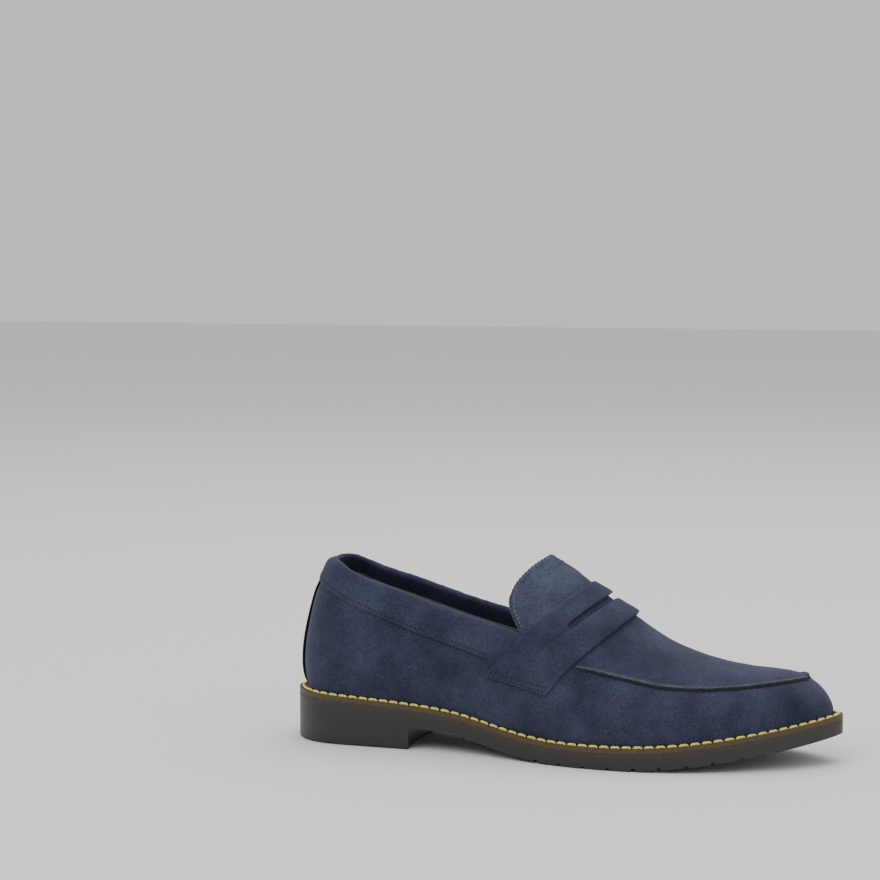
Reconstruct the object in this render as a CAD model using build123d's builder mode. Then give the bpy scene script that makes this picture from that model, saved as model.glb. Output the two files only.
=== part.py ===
from build123d import *
import os

import numpy as np

# A man's penny loafer for the right foot: a lasted suede upper on a rubber sole with a stitched welt.
# +X runs to the toe, +Y to the inner (medial) side, +Z up. The origin is on the ground, under the
# middle of the sole's length and width. All sizes are in millimetres.

os.makedirs("parts", exist_ok=True)

# ---- driving dimensions -------------------------------------------------------------------------
sole_length = 302.0
ball_width = 103.0
heel_length = 72.0
heel_seat_height = 16.5  # underside of the outsole above the ground at the very back
heel_pitch = 3.9  # how much lower that underside is at the heel breast
toe_spring = 14.4

outsole_thickness = 6.9
midsole_thickness = 2.3
welt_thickness = 2.3
welt_width = 6.5  # it reaches this far in, or to the upper where that comes first
welt_shelf = 3.0  # how far the sole stands out beyond the widest part of the upper
toe_thinning = 1.3  # the outsole is this much thinner at its toe
top_piece_thickness = 5.2
top_piece_rounding = 1.2
heel_breast_hollow = 2.6

upper_leather = 1.5
stiffener_thickness = 1.0
lining_thickness = 1.0
strap_leather = 1.5
collar_edge_leather = 0.9
lasting_margin = 14.0
insole_thickness = 2.2
insock_foam_thickness = 2.5
insock_cover_thickness = 1.1

collar_fold_depth = 9.0
collar_padding_depth = 10.0
counter_length = 78.0
counter_height = 40.0  # above the welt, at the back
toe_puff_length = 52.0
back_stay_width = 20.0
lining_joint = 150.0  # where the quarter lining meets the vamp lining, forward of the heel
slot_width = 4.2
hinge_gap = 0.6
tongue_rest_gap = 0.5  # between the tongue and the rolled collar edge
back_stay_lift = 0.3

shank_length = 104.0
shank_width = 14.0
shank_thickness = 1.2
shank_start = 42.0
shank_clearance = 0.1

nail_radius = 1.0
nail_head_radius = 2.4
nail_head_height = 0.8
nail_depth_in_heel = 6.0
nail_inset = 21.0
nail_head_depth = 0.3
nail_angles = (90, 135, 180, 225, 270)

tread_groove_width = 2.0
tread_groove_depth = 1.2
tread_pitch = 13.5
tread_start = 148.0
tread_count = 10
heel_groove_start = 27.0
heel_groove_pitch = 16.3
heel_groove_count = 2
heel_groove_depth = 1.0

stitch_pitch = 6.0
stitch_length = 4.9
thread_radius = 0.75
stitch_inset = 2.2
stitch_groove_depth = 0.5
stitch_clearance = 0.6
stitch_seat_gap = 0.1

# ---- the drawn lines ----------------------------------------------------------------------------
# They are drawn for a sole 302 long and 103 wide and are scaled from there. The first number is the
# distance forward of the heel's back, the second the distance from the shoe's axis (outer side
# minus) or the height above the ground.
drawn_length = 302.0
drawn_outer_ball = 55.0
drawn_inner_ball = 48.0
drawn_heel_half_width = 32.0
length_scale = sole_length / drawn_length
width_scale = ball_width / (drawn_outer_ball + drawn_inner_ball)
axis_shift = (drawn_outer_ball - drawn_inner_ball) / 2 * width_scale

seat_drop = heel_seat_height - heel_pitch
top_of_midsole = outsole_thickness + midsole_thickness
upper_thickness = upper_leather + stiffener_thickness + lining_thickness
insole_top = upper_thickness + insole_thickness
foam_top = insole_top + insock_foam_thickness
insock_top = foam_top + insock_cover_thickness
drawn_midsole = 9.2
height_change = top_of_midsole - drawn_midsole

outer_outline = [
    (0, 0), (4.5, -17), (16, -27.5), (38, -32), (75, -33.5), (100, -35.7), (130, -43.4), (160, -51.5),
    (190, -55), (215, -53.3), (240, -46.8), (265, -35.3), (284, -21), (297, -6.5),
]
inner_outline = [
    (302, 4.5), (296, 16.5), (281, 28), (260, 38), (235, 45.6), (208, 48), (184, 43), (158, 35),
    (130, 30), (100, 31), (70, 33.5), (40, 33), (17, 28), (4.5, 17),
]
heel_drop = heel_pitch / heel_length
underside_back = [
    (-12, heel_seat_height + 12 * heel_drop),
    (36, heel_seat_height - 0.45 * heel_pitch),
    (heel_length / length_scale, seat_drop),
    (100, 0.75 * seat_drop),
    (130, 0.28 * seat_drop),
    (152, 0.05 * seat_drop),
    (176, 0),
]
underside_front = [
    (176, 0),
    (200, 0.035 * toe_spring),
    (225, 0.16 * toe_spring),
    (250, 0.39 * toe_spring),
    (280, 0.73 * toe_spring),
    (302, toe_spring),
    (314, 1.16 * toe_spring),
]

# The side view of the upper's outer face, clockwise from the back of the heel. Over the foot opening
# it is the line that the last would have, and below the welt it only shapes the walls.
side_view = [
    (2.9, 41), (4.3, 60), (9.5, 79), (17, 98.7), (33, 114), (62, 121), (95, 121), (122, 116),
    (144, 104.6), (158, 95.4), (168, 88.3), (180, 79.8), (191, 72.3), (204, 63.3), (217, 57),
    (232, 52.1), (252, 48.4), (268, 47.4), (280, 45.4), (288.4, 41), (294.4, 34.2), (296.9, 26.5),
    (293.5, 16), (280, 4), (240, -6), (190, -12), (130, -10), (70, -4), (25, 6), (8, 24),
]
widest_height = [(2.9, 41), (30, 41), (70, 39), (110, 34), (150, 28), (200, 23), (250, 22.5), (296.9, 26.5)]
ridge_place = [(2.9, 0), (60, 0), (120, 2), (170, 4), (230, 5), (296.9, 4.5)]
wall_fullness = [(2.9, 0.6), (36, 0.6), (70, 0.42), (105, 0.3), (140, 0.27), (165, 0.29), (190, 0.35),
                 (215, 0.44), (235, 0.54), (260, 0.72), (285, 0.7), (296.9, 0.6)]
crown_fullness = [(2.9, 0.6), (36, 0.6), (70, 0.42), (105, 0.36), (140, 0.36), (165, 0.38), (190, 0.38),
                  (215, 0.45), (235, 0.54), (260, 0.68), (285, 0.66), (296.9, 0.58)]
foot_fullness = 0.75

outer_topline = [(13, 96.6), (24, 99), (35, 94), (49, 88.7), (65, 83), (81, 77), (106, 69), (127, 63.4), (150, 56.5),
                 (180, 47.5)]
inner_topline = [(13, 96.6), (24, 99), (35.5, 93.6), (51, 88.6), (65, 85), (90, 78.5), (111, 73.8), (131, 69), (150, 64.5),
                 (180, 57.5)]
outer_band_seam = [(8, 90.6), (18.6, 86.2), (28.2, 81.6), (41.6, 75.6), (57.7, 69.3), (73.6, 63.2), (89.5, 57.9),
                   (106.8, 52.7), (124, 48.2), (150, 42), (180, 34)]
inner_band_seam = [(8, 90.6), (18.6, 86.2), (28.2, 81.6), (41.6, 76), (57.7, 70.6), (73.6, 66), (89.5, 62.4),
                   (106.8, 58.6), (124, 54.8), (150, 50), (180, 43)]
strap_rear = [(116.3, 43.4), (125.5, 54.2), (133.2, 62.6), (141.5, 71), (149.6, 77.9), (158.4, 84.8), (166, 90.8),
              (178, 99.4)]
strap_front = [(152.8, 36.3), (159.7, 46), (166.6, 53.4), (179, 64.4), (185.6, 70.2), (191.6, 75.4), (206, 87)]
slot_line = [(160.6, 69.8), (170.4, 78.2), (177, 83), (190, 92)]
apron_outer = [(120, -37.2), (168, -38.3), (189, -38.2), (202, -37.3), (216, -35.5), (231, -32.6), (245, -28.8),
               (258, -23.9), (269, -17.4), (278, -8)]
apron_inner = [(282.8, 4.5), (278.5, 16.5), (269, 26.4), (258, 33), (245, 37.6), (231, 40.3), (216, 41.6), (202, 41.8),
               (189, 41), (168, 39.4), (120, 36)]
tongue_edge = [(138.5, 60.5), (134.2, 66.3), (130.4, 72), (127, 78), (125.5, 84), (127, 89.9), (131.8, 96.8),
               (138.9, 103), (147, 109)]
tongue_root = 178  # anywhere under the strap: the strap's rear edge cuts the tongue off


def along(s):
    return s * length_scale - sole_length / 2


def across(y):
    return y * width_scale + axis_shift


def height(z):
    return z + height_change


def side(points):
    """Drawn side-view points as points of the XZ plane."""
    return [(along(s), height(z)) for s, z in points]


def plan(points):
    """Drawn plan points as points of the XY plane."""
    return [(along(s), across(y)) for s, y in points]


def line_through(points):
    """A smooth line through drawn points, as a function of x."""
    placed = Spline(*[(along(s), v) for s, v in points])
    steps = [placed.position_at(t) for t in np.linspace(0, 1, 300)]
    return lambda x: float(np.interp(x, [p.X for p in steps], [p.Y for p in steps]))


def thinning(s):
    """How much the outsole has lost of its thickness by s."""
    return toe_thinning * (max(s - 215, 0) / (drawn_length - 215)) ** 2


def underside_edges(raise_by, thinned=False):
    """The sole's own curve in the XZ plane, raised by a height, as two tangent edges."""
    back = [(along(s), z + raise_by) for s, z in underside_back]
    front = [(along(s), z + raise_by + (thinning(s) if thinned else 0)) for s, z in underside_front]
    toe_rise = (front[-1][1] - front[-2][1]) / (front[-1][0] - front[-2][0])
    Spline(*back, tangents=((1, -heel_drop), (1, 0)))
    Spline(*front, tangents=((1, 0), (1, toe_rise)))
    return back[0], front[-1]


def above(level, ceiling=190.0, half_width=90.0, thinned=False):
    """Everything above the midsole's upper face raised by level."""
    with BuildPart() as block:
        with BuildSketch(Plane.XZ):
            with BuildLine():
                start, end = underside_edges(top_of_midsole + level, thinned)
                Polyline(end, (end[0], ceiling), (start[0], ceiling), start)
            make_face()
        extrude(amount=half_width, both=True)
    return block.part


def layer(low, high):
    """The sole-shaped layer between two levels over the midsole's upper face."""
    with BuildPart() as slab:
        add(above(low))
        add(above(high, ceiling=191.0, half_width=91.0), mode=Mode.SUBTRACT)
    return slab.part


with BuildLine(Plane.XZ) as underside:
    underside_edges(0)
underside_steps = [e.position_at(t) for e in underside.edges().sort_by(Axis.X) for t in np.linspace(0, 1, 200)]


def midsole_height(x):
    """Height of the midsole's upper face at x."""
    low = np.interp(x, [p.X for p in underside_steps], [p.Z for p in underside_steps])
    return float(low) + top_of_midsole


class Ring:
    """A smooth closed line that runs forward on its upper branch, and can be grown outward."""

    def __init__(self, points):
        placed = Spline(*points, periodic=True)
        steps = np.linspace(0, 1, 600, endpoint=False)
        self.places = np.array([tuple(placed.position_at(t))[:2] for t in steps])
        turns = np.array([tuple(placed.tangent_at(t))[:2] for t in steps])
        self.outward = np.column_stack([-turns[:, 1], turns[:, 0]])
        if np.sum(self.outward * (self.places - self.places.mean(axis=0))) < 0:
            self.outward = -self.outward

    def grown(self, amount):
        line = self.places + amount * self.outward
        first, last = np.argmin(line[:, 0]), np.argmax(line[:, 0])
        line = np.roll(line, -first, axis=0)
        last = (last - first) % len(line)
        branches = [line[: last + 1], np.vstack([line[last:], line[:1]])[::-1]]
        return sorted(branches, key=lambda branch: branch[:, 1].mean())

    def limits(self, amount):
        low, high = self.grown(amount)
        return low[0, 0], low[-1, 0]

    def loop(self, amount):
        """The grown line as a function of the share of its length, and that length."""
        line = self.places + amount * self.outward
        line = np.vstack([line, line[:1]])
        run = np.concatenate([[0], np.cumsum(np.hypot(*np.diff(line, axis=0).T))])
        share = run / run[-1]
        return lambda t: (np.interp(t % 1, share, line[:, 0]), np.interp(t % 1, share, line[:, 1])), run[-1]

    def outline(self, amount, count=44):
        """The grown line as evenly spaced places, enough to draw it again as one smooth line."""
        place, length = self.loop(amount)
        return [place(i / count) for i in range(count)]

    def span(self, amount, x):
        return [float(np.interp(x, branch[:, 0], branch[:, 1])) for branch in self.grown(amount)]


plan_points = plan(outer_outline + inner_outline)
plan_ring = Ring(plan_points)
side_ring = Ring(side(side_view))
widest = line_through([(s, height(z)) for s, z in widest_height])
ridge = line_through([(s, across(y)) for s, y in ridge_place])
wall_handle = line_through(wall_fullness)
crown_handle = line_through(crown_fullness)

end_steps = [0.4, 2.0, 5.0, 11.0]
middle_steps = [23, 37, 54, 72, 92, 112, 130, 146, 160, 175, 190, 205, 220, 236, 250, 262, 273]


def form(grow):
    """The closed volume of the upper's outer face grown outward by grow, or shrunk when minus."""
    side_rear, side_front = side_ring.limits(grow)
    plan_rear, plan_front = plan_ring.limits(grow - welt_shelf)
    rear, front = max(side_rear, plan_rear), min(side_front, plan_front)
    stations = [rear + step for step in end_steps]
    stations += [along(s) for s in middle_steps]
    stations += [front - step for step in end_steps[::-1]]
    with BuildPart() as volume:
        for x in stations:
            outer, inner = plan_ring.span(grow - welt_shelf, x)
            bottom, top = side_ring.span(grow, x)
            waist = min(max(widest(x), bottom + 0.3 * (top - bottom)), top - 0.3 * (top - bottom))
            crest = ridge(x)
            up, down = wall_handle(x) * (top - waist), foot_fullness * (waist - bottom)
            with BuildSketch(Plane.YZ.offset(x)):
                with BuildLine():
                    for edge_y in (outer, inner):
                        reach = crown_handle(x) * (crest - edge_y)
                        Bezier((edge_y, waist), (edge_y, waist + up), (crest - reach, top), (crest, top))
                        reach = foot_fullness * (crest - edge_y)
                        Bezier((crest, bottom), (crest - reach, bottom), (edge_y, waist - down), (edge_y, waist))
                make_face()
        loft()
    return volume.part


# ---- volumes that the pieces are cut from -------------------------------------------------------
strap_face = form(strap_leather)
outer_face = form(0)
stiffener_face = form(-upper_leather)
lining_face = form(-upper_leather - stiffener_thickness)
foot_space = form(-upper_thickness)
far = 95.0  # well outside the shoe
high = 180.0  # well above it


def outline_prism(inset):
    """A block with the outsole's outline, pulled in by inset."""
    with BuildPart() as block:
        with BuildSketch(Plane.XY.offset(-20)):
            with BuildLine():
                Spline(*(plan_ring.outline(-inset) if inset else plan_points), periodic=True)
            make_face()
        extrude(amount=100)
    return block.part


def side_block(draw_outline):
    """A block right across the shoe from a closed side-view outline, which a function draws."""
    with BuildPart() as block:
        with BuildSketch(Plane.XZ):
            with BuildLine():
                draw_outline()
            make_face()
        extrude(amount=far, both=True)
    return block.part


def behind_strap_outline(shift=0.0):
    rear = [(x - shift, z) for x, z in side(strap_rear)]
    heel_x = along(-25)
    Spline(*rear)
    Polyline(rear[-1], (rear[-1][0], 2 * far), (heel_x, 2 * far), (heel_x, rear[0][1]), rear[0])


def behind_hinge_outline():
    behind_strap_outline(hinge_gap)


def strap_outline():
    rear, front = side(strap_rear), side(strap_front)
    Spline(*rear)
    Line(rear[-1], front[-1])
    Spline(*front)
    Line(front[0], rear[0])


def slot_outline():
    line = side(slot_line)
    middle = Spline(*line, mode=Mode.PRIVATE)
    steps = [(middle.position_at(t), middle.tangent_at(t)) for t in (0.06, 0.35, 0.65, 1)]
    half = slot_width / 2
    upper = [(p.X - half * turn.Y, p.Y + half * turn.X) for p, turn in steps]
    lower = [(p.X + half * turn.Y, p.Y - half * turn.X) for p, turn in steps]
    Spline(*upper)
    Line(upper[-1], lower[-1])
    Spline(*lower)
    ThreePointArc(lower[0], line[0], upper[0])


def tongue_outline():
    edge = side(tongue_edge)
    front_x = along(tongue_root)
    Spline(*edge)
    Polyline(edge[-1], (front_x, edge[-1][1]), (front_x, edge[0][1]), edge[0])


behind_strap = side_block(behind_strap_outline)
strap_block = side_block(strap_outline)
slot_block = side_block(slot_outline)


def opening(outer_line, inner_line, lower=0.0):
    """The space behind the strap and above a line on each side of the shoe, sunk by lower."""
    with BuildPart() as space:
        for y, topline in ((1 - far, outer_line), (far - 1, inner_line)):
            with BuildSketch(Plane.XZ.offset(-y)):
                with BuildLine():
                    line = [(x, z - lower) for x, z in side(topline)]
                    heel_x, front_x = along(-20), line[-1][0]
                    Spline(*line)
                    Polyline(line[-1], (front_x, high), (heel_x, high), (heel_x, line[0][1]), line[0])
                make_face()
        loft(ruled=True)
        add(behind_strap, mode=Mode.INTERSECT)
    return space.part


toplines = (outer_topline, inner_topline)
mouth = opening(*toplines)
above_collar = opening(*toplines, -collar_edge_leather)
above_fold_seam = opening(*toplines, collar_fold_depth)
above_padding = opening(*toplines, collar_padding_depth)
above_band_seam = opening(outer_band_seam, inner_band_seam)
above_tongue_rest = opening(*toplines, -collar_edge_leather - tongue_rest_gap)
tongue_block = side_block(tongue_outline) & side_block(behind_hinge_outline) & above_tongue_rest

with BuildPart() as apron_block:
    with BuildSketch(Plane.XY.offset(height(28))):
        with BuildLine():
            outer = plan(apron_outer)
            inner = plan(apron_inner)
            Spline(*(outer + inner))
            Line(inner[-1], outer[0])
        make_face()
    extrude(amount=2 * far)

lasting_hole = outline_prism(welt_shelf + lasting_margin) & layer(-1, upper_thickness + 1)


def skin(outside, inside, outside_level, inside_level):
    """The layer between two forms, with the flange that is lasted under the insole."""
    with BuildPart() as cover:
        add(outside)
        add(above(outside_level), mode=Mode.INTERSECT)
        add(inside & above(inside_level), mode=Mode.SUBTRACT)
        add(lasting_hole, mode=Mode.SUBTRACT)
    return cover.part


def length_block(start, end):
    """Everything between two distances from the heel's back."""
    with BuildPart() as block:
        with BuildSketch(Plane.YZ.offset(along(start))):
            Rectangle(2.2 * far, 5 * far)
        extrude(amount=along(end) - along(start))
    return block.part


def finish(piece, name):
    piece.label = name
    export_step(piece, f"parts/{name}.step")


leather_level = upper_leather
stiffener_level = upper_leather + stiffener_thickness
leather_skin = skin(outer_face, stiffener_face, 0, leather_level)
stiffener_skin = skin(stiffener_face, lining_face, leather_level, stiffener_level)
lining_skin = skin(lining_face, foot_space, stiffener_level, upper_thickness)

# ---- nails, placed first because four layers are drilled for them -------------------------------
heel_centre = (along(heel_length / 2 - 2), axis_shift)
nail_ring = drawn_heel_half_width * width_scale - nail_inset
with BuildPart() as heel_nails:
    for angle in nail_angles:
        x = heel_centre[0] + nail_ring * np.cos(np.radians(angle))
        y = heel_centre[1] + nail_ring * np.sin(np.radians(angle))
        head_top = midsole_height(x) + insole_top - nail_head_depth
        tip = midsole_height(x) - top_of_midsole - nail_depth_in_heel
        with BuildSketch(Plane.XY.offset(tip)):
            with Locations((x, y)):
                Circle(nail_radius)
        extrude(amount=head_top - tip)
        with BuildSketch(Plane.XY.offset(head_top - nail_head_height)):
            with Locations((x, y)):
                Circle(nail_head_radius)
        extrude(amount=nail_head_height)
finish(heel_nails.part, "heel_nails")

with BuildPart() as nail_heads_room:
    for nail in heel_nails.part.solids():
        middle = nail.bounding_box().center()
        with BuildSketch(Plane.XY.offset(nail.bounding_box().max.Z)):
            with Locations((middle.X, middle.Y)):
                Circle(nail_head_radius)
        extrude(amount=nail_head_depth + 1)

# ---- sole ---------------------------------------------------------------------------------------
under_sole = above(-top_of_midsole, thinned=True)
with BuildPart() as tread_grooves:
    for i in range(tread_count):
        with BuildSketch(Plane.XY.offset(-1)):
            with Locations((along(tread_start + i * tread_pitch), axis_shift)):
                Rectangle(tread_groove_width, 2 * far)
        extrude(amount=toe_spring + outsole_thickness)
    add(above(tread_groove_depth - top_of_midsole, thinned=True), mode=Mode.SUBTRACT)

breast_x = along(heel_length / length_scale)
breast_half = drawn_heel_half_width * width_scale
breast_radius = (breast_half**2 + heel_breast_hollow**2) / (2 * heel_breast_hollow)
breast_end = breast_x - heel_breast_hollow + breast_radius - (breast_radius**2 - far**2) ** 0.5
with BuildPart() as heel_shape:
    with BuildSketch():
        with BuildLine():
            Spline(*plan_points, periodic=True)
        make_face()
        with BuildLine():
            ends = [(breast_end, axis_shift - far), (breast_end, axis_shift + far)]
            ThreePointArc(ends[0], (breast_x - heel_breast_hollow, axis_shift), ends[1])
            Polyline(ends[1], (along(-20), ends[1][1]), (along(-20), ends[0][1]), ends[0])
        make_face(mode=Mode.INTERSECT)
    extrude(amount=heel_seat_height + 1)

heel_over_top_piece = heel_shape.part & Pos(0, 0, top_piece_thickness) * heel_shape.part
with BuildPart() as outsole:
    add(outline_prism(0))
    add(under_sole, mode=Mode.INTERSECT)
    add(heel_over_top_piece)
    add(above(-midsole_thickness, ceiling=191, half_width=91), mode=Mode.SUBTRACT)
    add(tread_grooves.part, mode=Mode.SUBTRACT)
    add(heel_nails.part, mode=Mode.SUBTRACT)
finish(outsole.part, "outsole")

with BuildPart() as heel_top_piece:
    add(heel_shape.part)
    split(bisect_by=Plane.XY.offset(top_piece_thickness), keep=Keep.BOTTOM)
    fillet(heel_top_piece.edges().group_by(Axis.Z)[0], radius=top_piece_rounding)
    for i in range(heel_groove_count):
        with BuildSketch(Plane.XY):
            with Locations((along(heel_groove_start + i * heel_groove_pitch), axis_shift)):
                Rectangle(tread_groove_width, 2 * far)
        extrude(amount=heel_groove_depth, mode=Mode.SUBTRACT)
finish(heel_top_piece.part, "heel_top_piece")

with BuildPart() as midsole:
    add(outline_prism(0))
    add(layer(-midsole_thickness, 0), mode=Mode.INTERSECT)
    add(heel_nails.part, mode=Mode.SUBTRACT)
finish(midsole.part, "midsole")

groove_half = thread_radius + stitch_clearance
with BuildPart() as stitch_groove:
    add(outline_prism(stitch_inset - groove_half))
    add(outline_prism(stitch_inset + groove_half), mode=Mode.SUBTRACT)
    add(above(welt_thickness - stitch_groove_depth), mode=Mode.INTERSECT)

with BuildPart() as welt:
    add(outline_prism(0))
    add(outline_prism(welt_width), mode=Mode.SUBTRACT)
    add(layer(0, welt_thickness), mode=Mode.INTERSECT)
    add(stitch_groove.part, mode=Mode.SUBTRACT)
    add(outer_face, mode=Mode.SUBTRACT)
finish(welt.part, "welt")

stitch_line, stitch_line_length = plan_ring.loop(-stitch_inset)
stitch_count = round(stitch_line_length / stitch_pitch)
thread_level = welt_thickness - stitch_groove_depth + stitch_seat_gap + thread_radius
with BuildPart() as welt_stitches:
    for i in range(stitch_count):
        ends = []
        for part in (-0.5, 0.5):
            x, y = stitch_line((i * stitch_pitch + part * stitch_length) / (stitch_count * stitch_pitch))
            ends.append(Vector(x, y, midsole_height(x) + thread_level))
        with BuildSketch(Plane(ends[0], z_dir=ends[1] - ends[0])):
            Circle(thread_radius)
        extrude(amount=(ends[1] - ends[0]).length)
finish(welt_stitches.part, "welt_stitches")

# ---- under the foot -----------------------------------------------------------------------------
def shank_strip(grow):
    with BuildPart() as strip:
        with BuildSketch(Plane.XY.offset(-20)):
            with Locations((along(shank_start) + shank_length / 2, axis_shift)):
                SlotOverall(shank_length + 2 * grow, shank_width + 2 * grow)
        extrude(amount=120)
        add(layer(upper_thickness - shank_thickness - grow, upper_thickness), mode=Mode.INTERSECT)
    return strip.part


shank = shank_strip(0)
finish(shank, "shank")

with BuildPart() as bottom_filler:
    add(outline_prism(welt_shelf + lasting_margin))
    add(layer(0, upper_thickness), mode=Mode.INTERSECT)
    add(shank_strip(shank_clearance), mode=Mode.SUBTRACT)
    add(heel_nails.part, mode=Mode.SUBTRACT)
finish(bottom_filler.part, "bottom_filler")

with BuildPart() as insole_board:
    add(foot_space)
    add(layer(upper_thickness, insole_top), mode=Mode.INTERSECT)
    add(heel_nails.part, mode=Mode.SUBTRACT)
    add(nail_heads_room.part, mode=Mode.SUBTRACT)
finish(insole_board.part, "insole_board")

with BuildPart() as insock_foam:
    add(foot_space)
    add(layer(insole_top, foam_top), mode=Mode.INTERSECT)
finish(insock_foam.part, "insock_foam")

with BuildPart() as insock_cover:
    add(foot_space)
    add(layer(foam_top, insock_top), mode=Mode.INTERSECT)
finish(insock_cover.part, "insock_cover")

# ---- upper --------------------------------------------------------------------------------------
with BuildPart() as vamp_wall:
    add(leather_skin)
    add(apron_block.part - behind_strap, mode=Mode.SUBTRACT)
    add(above_padding, mode=Mode.SUBTRACT)
finish(vamp_wall.part, "vamp_wall")

with BuildPart() as apron:
    add(leather_skin)
    add(apron_block.part, mode=Mode.INTERSECT)
    add(behind_strap, mode=Mode.SUBTRACT)
finish(apron.part, "apron")

with BuildPart() as collar_padding:
    add(outer_face - lining_face)
    add(above_padding, mode=Mode.INTERSECT)
    add(mouth, mode=Mode.SUBTRACT)
finish(collar_padding.part, "collar_padding")

with BuildPart() as collar_band:
    add(((strap_face - outer_face) & above_band_seam) - mouth)
    add(((strap_face - foot_space) & mouth) - above_collar)
    add(((lining_face - foot_space) & above_fold_seam) - mouth)
finish(collar_band.part, "collar_band")

with BuildPart() as saddle_strap:
    add(strap_face - outer_face)
    add(strap_block, mode=Mode.INTERSECT)
    add(slot_block, mode=Mode.SUBTRACT)
finish(saddle_strap.part, "saddle_strap")

with BuildPart() as back_stay:
    with BuildSketch(Plane.YZ.offset(along(-20))):
        with Locations((axis_shift, far / 2)):
            Rectangle(back_stay_width, 2 * far)
    extrude(amount=60)
    add(strap_face - outer_face, mode=Mode.INTERSECT)
    add(above(welt_thickness + back_stay_lift), mode=Mode.INTERSECT)
    add(above_band_seam, mode=Mode.SUBTRACT)
finish(back_stay.part, "back_stay")

with BuildPart() as counter_block:
    add(length_block(-20, counter_length))
    with BuildSketch(Plane.XZ):
        with BuildLine():
            top = midsole_height(along(0)) + welt_thickness + counter_height
            corner = (along(counter_length), midsole_height(along(counter_length)) + 8)
            Polyline((along(-30), top), (along(20), top), corner, (corner[0], -30), (along(-30), -30), close=True)
        make_face()
    extrude(amount=far, both=True, mode=Mode.INTERSECT)

with BuildPart() as heel_counter:
    add(stiffener_skin)
    add(counter_block.part, mode=Mode.INTERSECT)
finish(heel_counter.part, "heel_counter")

puff_block = length_block(drawn_length - toe_puff_length, drawn_length + 20)
with BuildPart() as toe_puff:
    add(stiffener_skin)
    add(puff_block, mode=Mode.INTERSECT)
finish(toe_puff.part, "toe_puff")

with BuildPart() as interlining:
    add(stiffener_skin)
    add(counter_block.part, mode=Mode.SUBTRACT)
    add(puff_block, mode=Mode.SUBTRACT)
    add(above_padding, mode=Mode.SUBTRACT)
finish(interlining.part, "interlining")

with BuildPart() as quarter_lining:
    add(lining_skin)
    add(length_block(-20, lining_joint), mode=Mode.INTERSECT)
    add(above_fold_seam, mode=Mode.SUBTRACT)
finish(quarter_lining.part, "quarter_lining")

with BuildPart() as vamp_lining:
    add(lining_skin)
    add(length_block(lining_joint, drawn_length + 20), mode=Mode.INTERSECT)
    add(behind_strap, mode=Mode.SUBTRACT)
finish(vamp_lining.part, "vamp_lining")

# ---- tongue, the piece that lifts ---------------------------------------------------------------
with BuildPart() as tongue:
    add(outer_face - stiffener_face)
    add(tongue_block, mode=Mode.INTERSECT)
finish(tongue.part, "tongue")

with BuildPart() as tongue_lining:
    add(stiffener_face - lining_face)
    add(tongue_block, mode=Mode.INTERSECT)
finish(tongue_lining.part, "tongue_lining")
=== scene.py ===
import math

import bpy
import numpy as np
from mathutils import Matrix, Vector
from mathutils.bvhtree import BVHTree


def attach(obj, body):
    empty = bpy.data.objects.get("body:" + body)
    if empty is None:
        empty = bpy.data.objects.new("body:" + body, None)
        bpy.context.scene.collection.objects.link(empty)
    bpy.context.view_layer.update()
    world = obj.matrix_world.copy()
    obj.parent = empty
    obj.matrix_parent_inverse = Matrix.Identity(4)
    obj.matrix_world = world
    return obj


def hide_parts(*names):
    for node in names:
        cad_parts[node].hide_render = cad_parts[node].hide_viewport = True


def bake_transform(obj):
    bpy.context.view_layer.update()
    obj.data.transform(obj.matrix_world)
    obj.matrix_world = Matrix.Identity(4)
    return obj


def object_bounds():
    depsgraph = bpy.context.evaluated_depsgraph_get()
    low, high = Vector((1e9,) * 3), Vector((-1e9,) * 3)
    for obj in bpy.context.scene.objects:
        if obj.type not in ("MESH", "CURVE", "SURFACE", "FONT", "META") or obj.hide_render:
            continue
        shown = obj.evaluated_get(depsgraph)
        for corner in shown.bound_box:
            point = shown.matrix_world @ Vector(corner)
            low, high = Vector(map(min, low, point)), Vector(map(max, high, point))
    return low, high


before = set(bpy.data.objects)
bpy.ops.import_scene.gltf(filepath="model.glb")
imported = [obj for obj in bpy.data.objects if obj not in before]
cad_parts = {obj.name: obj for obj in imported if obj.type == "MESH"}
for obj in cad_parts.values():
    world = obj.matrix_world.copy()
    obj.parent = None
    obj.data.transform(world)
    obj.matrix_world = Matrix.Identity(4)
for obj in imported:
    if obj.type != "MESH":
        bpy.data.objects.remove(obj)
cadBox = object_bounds()
mm = 0.001
heelX = cadBox[0][0]  # back of the sole; x runs to the toe, y to the inner side, z up

shoe = {
    "axisY": (3.5, 8.0),  # mm, the line that the foot's middle follows, at the heel and at the toe
    "pivots": (32.0, 250.0),  # mm forward of the sole's back, where the heel's and the toe's rounds end
    "rounds": (31.0, 43.0),  # mm, radius of the heel and of the toe in plan
    "coreHeights": ((32, 46), (110, 40), (170, 32), (210, 25), (250, 24)),  # mm, a line inside the shoe
}


def fromHeel(s, y, z):
    return Vector((heelX + s * mm, y * mm, z * mm))


# ---- reading the shoe's surfaces ----
def surfaceOf(*names):
    points, faces = [], []
    for name in names:
        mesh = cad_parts[name].data
        start = len(points)
        points += [v.co.copy() for v in mesh.vertices]
        faces += [[start + i for i in p.vertices] for p in mesh.polygons]
    return BVHTree.FromPolygons(points, faces)


def core(s):
    # a point on the line inside the shoe that the rays leave from
    heights = shoe["coreHeights"]
    z = float(np.interp(s, [h[0] for h in heights], [h[1] for h in heights]))
    return fromHeel(s, float(np.interp(s, shoe["pivots"], shoe["axisY"])), z)


quarterHeel = math.pi / 2 * shoe["rounds"][0]
sideRun = shoe["pivots"][1] - shoe["pivots"][0]
halfToe = math.pi / 2 * shoe["rounds"][1]
roundTrip = 2 * (quarterHeel + sideRun + halfToe)
farOut = 0.25


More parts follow.
